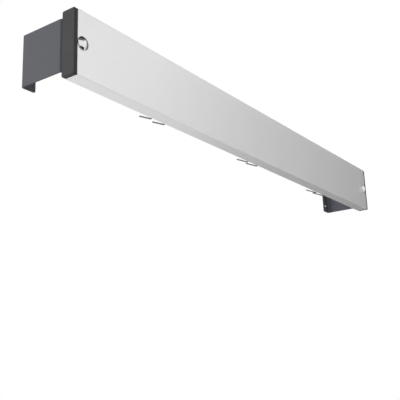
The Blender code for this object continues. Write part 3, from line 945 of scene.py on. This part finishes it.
# %% [markdown]
# ## The hooks: a wire along a path
#
# A hook is one length of wire, and a wire follows a path, so Geometry Nodes sweep it. The path comes in
# as corners, each with its own bending radius. A fillet rounds them, and a circle is swept along. Close
# to either end the circle shrinks the way a ball does, so the tips come out round, as tumbling leaves
# them.

# %% A tree for bent wire
bending, given = new_tree(
    "bent wire", Corners="Geometry", Diameter="Float", Bend_steps="Int", Sides="Int", Spacing="Float",
    Finish="Material")
line = add_node(bending, "GeometryNodeMeshToCurve", {"Mesh": given["Corners"]})
bend = add_node(bending, "GeometryNodeInputNamedAttribute", {"Name": "bend"}, data_type="FLOAT")
rounded = add_node(bending, "GeometryNodeFilletCurve", {
    "Curve": line, "Count": given["Bend steps"], "Radius": bend.outputs["Attribute"]}, mode="POLY")
even = add_node(bending, "GeometryNodeResampleCurve", {
    "Curve": rounded, "Length": given["Spacing"]}, mode="LENGTH")
wire_radius = add_node(bending, "ShaderNodeMath", {0: given["Diameter"], 1: 2}, operation="DIVIDE")
gone = add_node(bending, "GeometryNodeSplineParameter").outputs["Length"]
total = add_node(bending, "GeometryNodeSplineLength").outputs["Length"]
left = add_node(bending, "ShaderNodeMath", {0: total, 1: gone}, operation="SUBTRACT")
from_tip = add_node(bending, "ShaderNodeMath", {0: gone, 1: left}, operation="MINIMUM")
share = add_node(bending, "ShaderNodeMath", {
    0: from_tip, 1: wire_radius}, operation="DIVIDE", use_clamp=True)
short = add_node(bending, "ShaderNodeMath", {0: 1, 1: share}, operation="SUBTRACT")
squared = add_node(bending, "ShaderNodeMath", {0: short, 1: short}, operation="MULTIPLY")
kept = add_node(bending, "ShaderNodeMath", {0: 1, 1: squared}, operation="SUBTRACT", use_clamp=True)
swell = add_node(bending, "ShaderNodeMath", {0: kept}, operation="SQRT")
circle = add_node(bending, "GeometryNodeCurvePrimitiveCircle", {
    "Resolution": given["Sides"], "Radius": wire_radius})
swept = add_node(bending, "GeometryNodeCurveToMesh", {
    "Curve": even, "Profile Curve": circle.outputs["Curve"], "Scale": swell})
closed = add_node(bending, "GeometryNodeMergeByDistance", {"Geometry": swept, "Distance": WELD})
end_tree(bending, closed, given["Finish"])

# %% [markdown]
# Each hook's path has six corners: the tip of a prong, its bend, a turn at the top of the leg, and the
# same again the other way. The leg runs up the rail's back, and the bridge between the two turns lies
# under the saddle. The box of the hook's solid gives the height of the bridge and of the bends.

# %% Bend the three hooks
WIRE = 2.5 * MM
PRONG_REACH = 26.2 * MM
PRONG_RISE = radians(24.5)
PRONG_BEND = 2.5 * MM
PRONG_SPACING = 33 * MM
BRIDGE_BEND = 6 * MM
WIRE_STEP = 0.4 * MM
WIRE_BEND_STEPS = 12
WIRE_SIDES = 20

for number, x in enumerate(HOOK_PLACES, start=1):
    hook_low, hook_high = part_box(f"double_hook_{number}")
    leg_y, bridge_z = hook_low.y + WIRE / 2, hook_high.z - WIRE / 2
    turn_z = hook_low.z + WIRE / 2 + PRONG_BEND * (1 - tan((pi / 2 + PRONG_RISE) / 2))
    tip_y, tip_z = leg_y + PRONG_REACH, turn_z + PRONG_REACH * tan(PRONG_RISE)
    side = PRONG_SPACING / 2
    half = [(side, tip_y, tip_z), (side, leg_y, turn_z), (side, leg_y, bridge_z)]
    corners = [(x + dx, y, z) for dx, y, z in half] + [(x - dx, y, z) for dx, y, z in reversed(half)]
    path = bpy.data.meshes.new("corners")
    path.from_pydata(corners, [(i, i + 1) for i in range(len(corners) - 1)], [])
    bends = path.attributes.new("bend", "FLOAT", "POINT")
    bends.data.foreach_set("value", [0, PRONG_BEND, BRIDGE_BEND, BRIDGE_BEND, PRONG_BEND, 0])
    wire = grown(
        bending, path, Diameter=WIRE, Bend_steps=WIRE_BEND_STEPS, Sides=WIRE_SIDES, Spacing=WIRE_STEP,
        Finish=shade_darkened_nickel)
    finished(f"hook_wire_{number}", wire, [f"double_hook_{number}"], "nickel_wire")

# %% [markdown]
# ## The saddles
#
# A saddle is a strip of sheet pressed over the hook's bridge, with a flange above and one below for the
# rivets. It is cut and bent by the same two helpers as the brackets, with four bends instead of two.

# %% Press the saddles
SADDLE_SHEET = 1.5 * MM
SADDLE_INNER_BEND = 0.6 * MM
SADDLE_RIM = 0.25 * MM
SADDLE_CORNER = 3 * MM
QUARTER = pi / 2

radius = SADDLE_INNER_BEND + SADDLE_SHEET / 2
wall = WIRE / 2 + SEAT + SADDLE_SHEET / 2
rivet_hole = RIVET_DIAMETER + 2 * RIVET_CLEARANCE
for number, x in enumerate(HOOK_PLACES, start=1):
    low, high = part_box(f"hook_saddle_{number}")
    middle_z = (low.z + high.z) / 2
    flange = (high.z - low.z) / 2 - wall - radius
    rise = high.y - low.y - SADDLE_SHEET - 2 * radius
    legs = [
        (flange, QUARTER, radius), (rise, -QUARTER, radius), (2 * (wall - radius), -QUARTER, radius),
        (rise, QUARTER, radius), (flange, 0, 0)]
    developed = sum(length + abs(turn) * bend for length, turn, bend in legs)
    edge = rounded_outline(developed, high.x - low.x, SADDLE_CORNER, (developed / 2, 0))
    to_rivet = (high.z - low.z) / 2 - abs(RIVET_HEIGHTS[0] - middle_z)
    holes = [round_hole(far, 0, rivet_hole, SMALL_HOLE_SIDES) for far in (to_rivet, developed - to_rivet)]
    saddle = bent(
        blank([edge, *holes], SADDLE_SHEET, SADDLE_RIM),
        Vector((x, low.y + SADDLE_SHEET / 2, low.z)), Vector((0, 0, 1)), Vector((0, 1, 0)), legs)
    finished(f"hook_saddle_pressed_{number}", saddle, [f"hook_saddle_{number}"], "zinc_plate", zinc)

# %% [markdown]
# ## What stays as it is
#
# The two spacer sleeves sit inside the tube, where nobody sees them. Their solids have the right shape
# already, so they only get the zinc finish.

# %% Finish the sleeves
for end in ("left", "right"):
    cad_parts[f"spacer_sleeve_{end}"].material_slots[0].material = zinc
print("sleeves are zinc plated")

# %% [markdown]
# ## Floor and light
#
# The photograph is a studio picture cut out on white. The world is white wherever the camera or a
# reflection looks, and gives a softer light to everything else.

# %% A white world
WORLD_FILL = 0.34
WHITE = (1, 1, 1, 1)


def seen_by_mirrors(tree, *kinds):
    """1 for rays that come off something shiny or glassy, and for any other kinds that are named."""
    rays = add_node(tree, "ShaderNodeLightPath").outputs
    seen = rays["Is Glossy Ray"]
    for kind in ("Is Transmission Ray", *kinds):
        seen = add_node(tree, "ShaderNodeMath", {0: seen, 1: rays[kind]}, operation="MAXIMUM").outputs[0]
    return seen


world = bpy.data.worlds.new("white studio")
world.use_nodes = True
scene.world = world
tree = world.node_tree
tree.nodes.clear()
soft = add_node(tree, "ShaderNodeBackground", {"Color": WHITE, "Strength": WORLD_FILL})
white = add_node(tree, "ShaderNodeBackground", {"Color": WHITE, "Strength": 1})
mixed = add_node(tree, "ShaderNodeMixShader", {
    0: seen_by_mirrors(tree, "Is Camera Ray"), 1: soft, 2: white})
add_node(tree, "ShaderNodeOutputWorld", {"Surface": mixed})
print("world is white, and lights at", WORLD_FILL)

# %% [markdown]
# The floor is pale and plain and lies well below the rail, where it only catches a soft shadow. It can be
# seen through from below, so that it never stands in the way. The rail's underside mirrors it, so a
# mirror sees the floor's own white, whatever shade lies on it. The light is too weak to make the floor
# pale, and more of it would wash out the part, so a glow that only the camera sees is added to what the
# floor gives back.

# %% A pale floor
FLOOR_Z = -1.25
FLOOR_HALF = 4
FLOOR_WHITE = "F2F2F2"
FLOOR_LIFT = 0.5


def flat_panel(name, width, height, finish):
    mesh = bpy.data.meshes.new(name)
    signs = ((-1, -1), (1, -1), (1, 1), (-1, 1))
    mesh.from_pydata([(sx * width / 2, sy * height / 2, 0) for sx, sy in signs], [], [(0, 1, 2, 3)])
    mesh.materials.append(finish)
    panel = bpy.data.objects.new(name, mesh)
    scene.collection.objects.link(panel)
    panel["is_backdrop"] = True
    return panel


floor_finish, tree, shader, place = material_tree("matt white studio floor")
shader.inputs["Base Color"].default_value = linear(FLOOR_WHITE)
shader.inputs["Roughness"].default_value = 0.9
shader.inputs["Specular IOR Level"].default_value = 0.1
glow = add_node(tree, "ShaderNodeEmission", {"Color": linear(FLOOR_WHITE), "Strength": 1})
to_camera = add_node(tree, "ShaderNodeLightPath").outputs["Is Camera Ray"]
lift = add_node(tree, "ShaderNodeMath", {0: to_camera, 1: FLOOR_LIFT}, operation="MULTIPLY")
lifted = add_node(tree, "ShaderNodeEmission", {"Color": WHITE, "Strength": lift})
pale = add_node(tree, "ShaderNodeAddShader", {0: shader, 1: lifted})
mirrored = add_node(tree, "ShaderNodeMixShader", {0: seen_by_mirrors(tree), 1: pale, 2: glow})
below = add_node(tree, "ShaderNodeNewGeometry").outputs["Backfacing"]
clear = add_node(tree, "ShaderNodeBsdfTransparent")
shown = add_node(tree, "ShaderNodeMixShader", {0: below, 1: mirrored, 2: clear})
tree.links.new(shown.outputs[0], tree.nodes["Material Output"].inputs["Surface"])
flat_panel("floor", 2 * FLOOR_HALF, 2 * FLOOR_HALF, floor_finish).location.z = FLOOR_Z
print("floor lies", -FLOOR_Z, "m below the rail's middle")

# %% [markdown]
# Metal looks flat in an all-white room, because it has nothing to mirror. Studios hang grey and black
# cards just outside the picture for it. Here only reflections see the cards, so they neither show nor
# shade anything. Past the rail's right end stand a wide pale card, a grey one before it and a dark one
# above, and a grey one lies on the floor. Together they take the rail's front and underside from bright
# at the left to grey at the right. The last three draw the domes of the bolts: black overhead, grey above
# the front, and black low down in front. A picture of a studio round the world would do it too, but cards
# can be moved one at a time.

# %% Cards that only reflections see
def aimed(place, target):
    turn = (Vector(place) - Vector(target)).to_track_quat("Z", "Y")
    return Matrix.Translation(place) @ turn.to_matrix().to_4x4()


def card(name, place, target, width, height, shade):
    finish = bpy.data.materials.new(name)
    finish.use_nodes = True
    finish.node_tree.nodes.clear()
    glow = add_node(finish.node_tree, "ShaderNodeEmission", {"Color": linear(shade), "Strength": 1})
    add_node(finish.node_tree, "ShaderNodeOutputMaterial", {"Surface": glow})
    panel = flat_panel(name, width, height, finish)
    panel.matrix_world = aimed(place, target)
    panel.visible_camera = panel.visible_diffuse = panel.visible_shadow = False


# Each card's place, the point it faces, its width and height, all in metres, and its grey
card("wide_card", (3.2, -0.25, 0.4), (0, -0.25, 0.4), 5.5, 3.2, "C4C4C5")
card("right_card", (2.6, 0.3, -0.3), (0, 0.3, -0.3), 3.0, 1.8, "5C5C5E")
card("upper_card", (2.3, 0.65, 1.1), (0, 0, 0.3), 3.7, 3.0, "2C2C2D")
card("floor_card", (3.0, 1.7, -1.2), (3.0, 1.7, 0), 1.8, 2.2, "B4B4B6")
card("overhead_card", (0.05, -0.05, 1.8), (0.05, -0.05, 0), 2.5, 2.2, "18181A")
card("front_card", (-0.6, -1.75, 1.75), (-0.6, -1.75, 0), 2.4, 1.7, "707072")
card("low_card", (-0.25, -1.75, -1.15), (-0.25, -1.75, 0), 2.5, 1.5, "0C0C0D")

# %% [markdown]
# The even light of the world leaves the bracket and the caps without shape. One large, weak lamp on the
# left, a little behind the rail, lights their outer faces more than their fronts. It is soft, so it draws
# no hard shadow.

# %% A soft lamp
LAMP_PLACE = (-2.0, 1.2, 0.6)
LAMP_TARGET = (-0.4, 0, 0)
LAMP_WATTS = 7.2
LAMP_SIZE = 1.2

lamp_data = bpy.data.lights.new("left_lamp", "AREA")
lamp_data.shape, lamp_data.size, lamp_data.energy = "DISK", LAMP_SIZE, LAMP_WATTS
lamp = bpy.data.objects.new("left_lamp", lamp_data)
lamp.matrix_world = aimed(LAMP_PLACE, LAMP_TARGET)
lamp.visible_camera = False
scene.collection.objects.link(lamp)
print("lamp of", LAMP_WATTS, "W,", LAMP_SIZE, "m across")

# %% [markdown]
# ## Colour and size
#
# Colours are shown as they are written, without a film look, and the box of the dressed part is printed.

# %% Show colours plainly and print the size
scene.view_settings.view_transform = "Standard"
low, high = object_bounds()
print("visual size in m:", [round(x, 4) for x in high - low])
